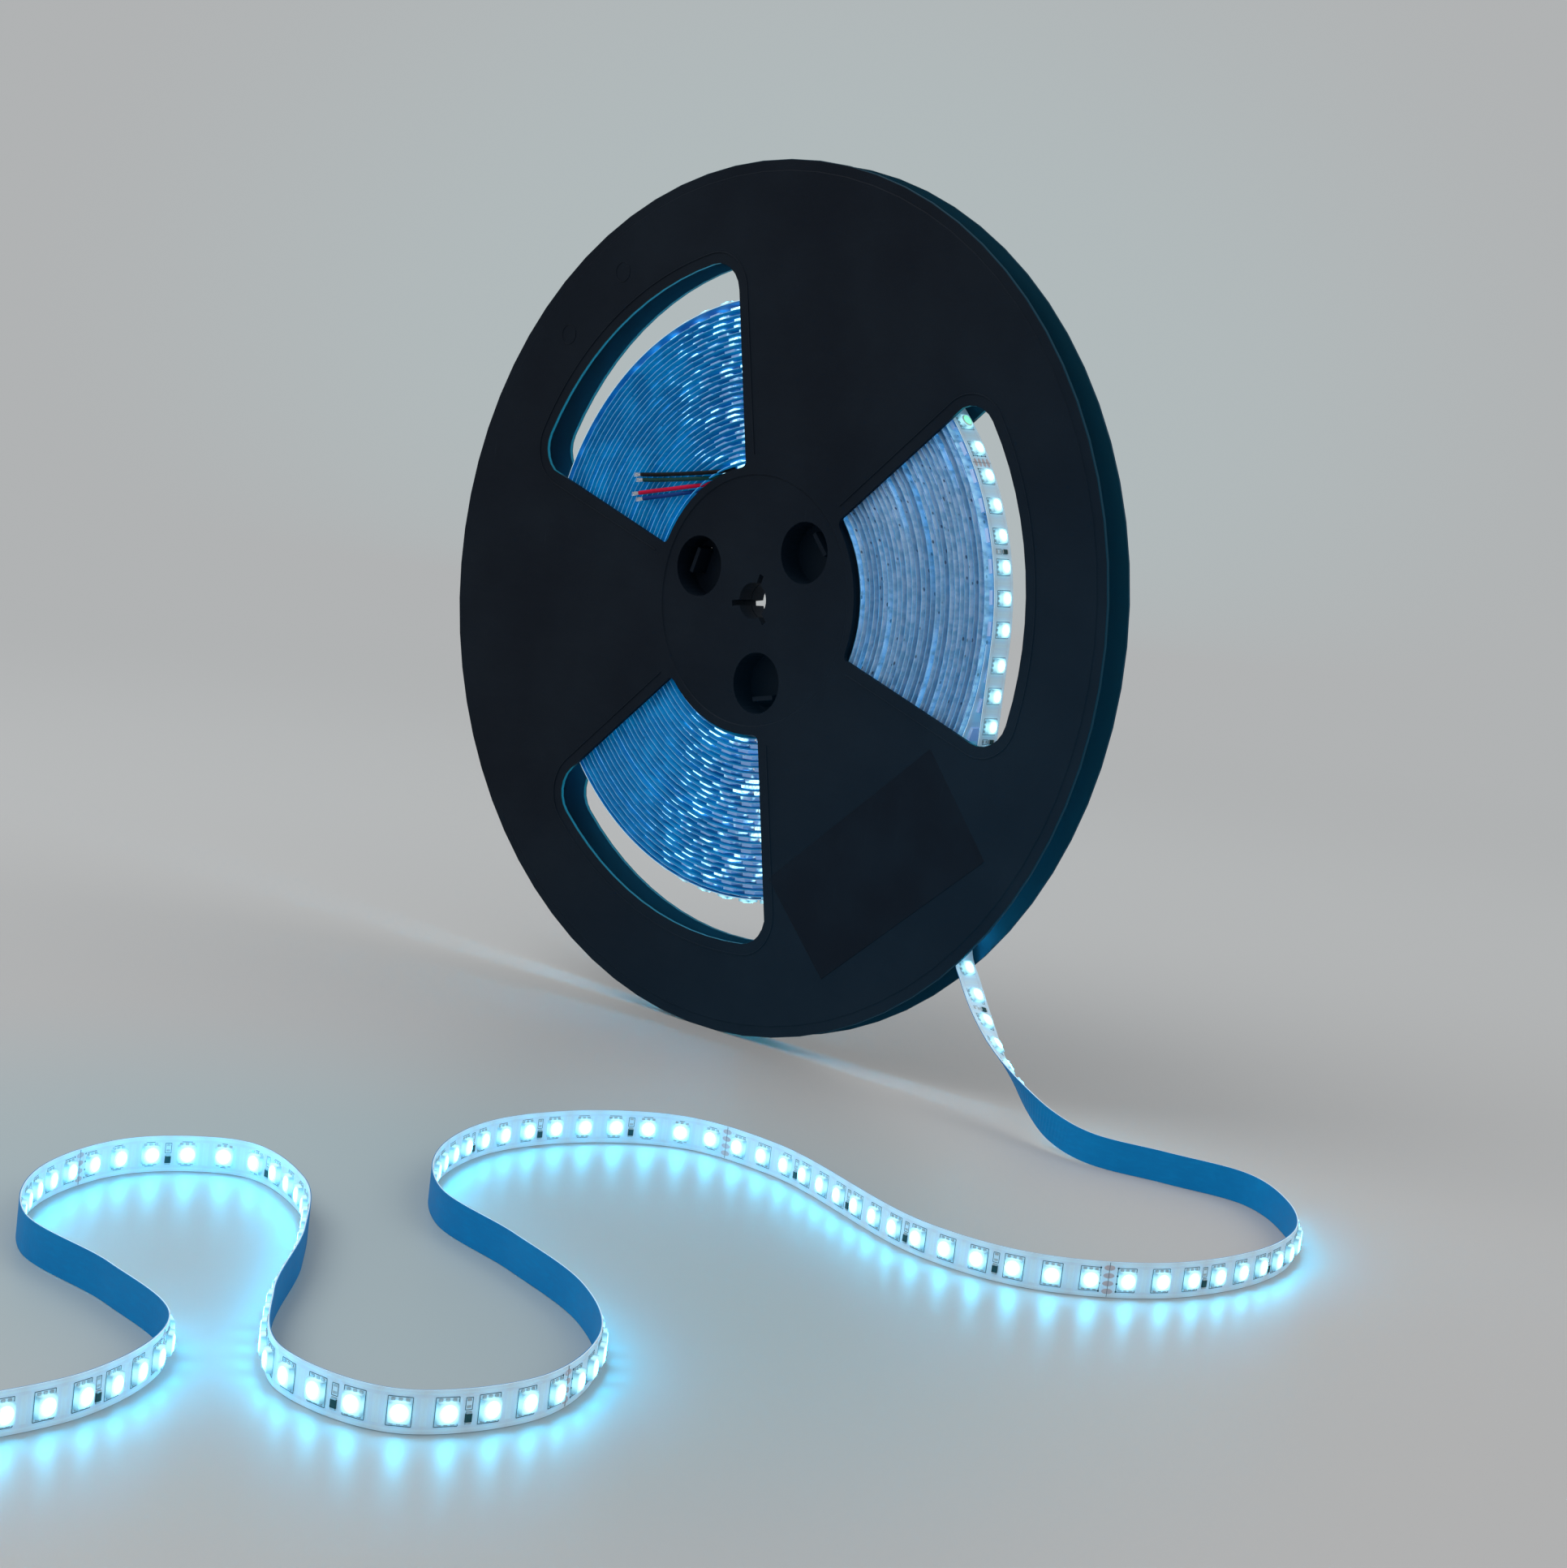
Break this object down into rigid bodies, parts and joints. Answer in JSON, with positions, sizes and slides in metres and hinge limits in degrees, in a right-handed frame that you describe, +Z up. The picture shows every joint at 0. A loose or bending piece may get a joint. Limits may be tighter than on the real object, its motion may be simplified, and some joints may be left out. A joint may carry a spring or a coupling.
{
  "type": "led strip light reel",
  "caption": "Wide flat plastic reel of flexible LED strip standing on its rims, its free end run out in loose curves over the floor.",
  "frame": {"origin": "middle of the reel's footprint on the floor, under the middle of its axis", "axes": "+Z up, +Y along the reel's axis from its front flange to its rear flange, +X to the right seen from the front"},
  "size_m": [0.4517, 0.4865, 0.3117],
  "materials": {
    "black_plastic": "moulded, fine satin",
    "strip": "white flexible board with lit lamps",
    "jacket_black": "smooth wire jacket",
    "jacket_green": "smooth wire jacket",
    "jacket_red": "smooth wire jacket",
    "jacket_blue": "smooth wire jacket",
    "tinned_wire": "bright tinned copper"
  },
  "bodies": {
    "root": {"front_half": "black_plastic", "rear_half": "black_plastic", "strip_roll": "strip", "strip_run": "strip", "lead_black": "jacket_black", "lead_green": "jacket_green", "lead_red": "jacket_red", "lead_blue": "jacket_blue", "lead_black_tip": "tinned_wire", "lead_green_tip": "tinned_wire", "lead_red_tip": "tinned_wire", "lead_blue_tip": "tinned_wire"}
  },
  "joints": []
}
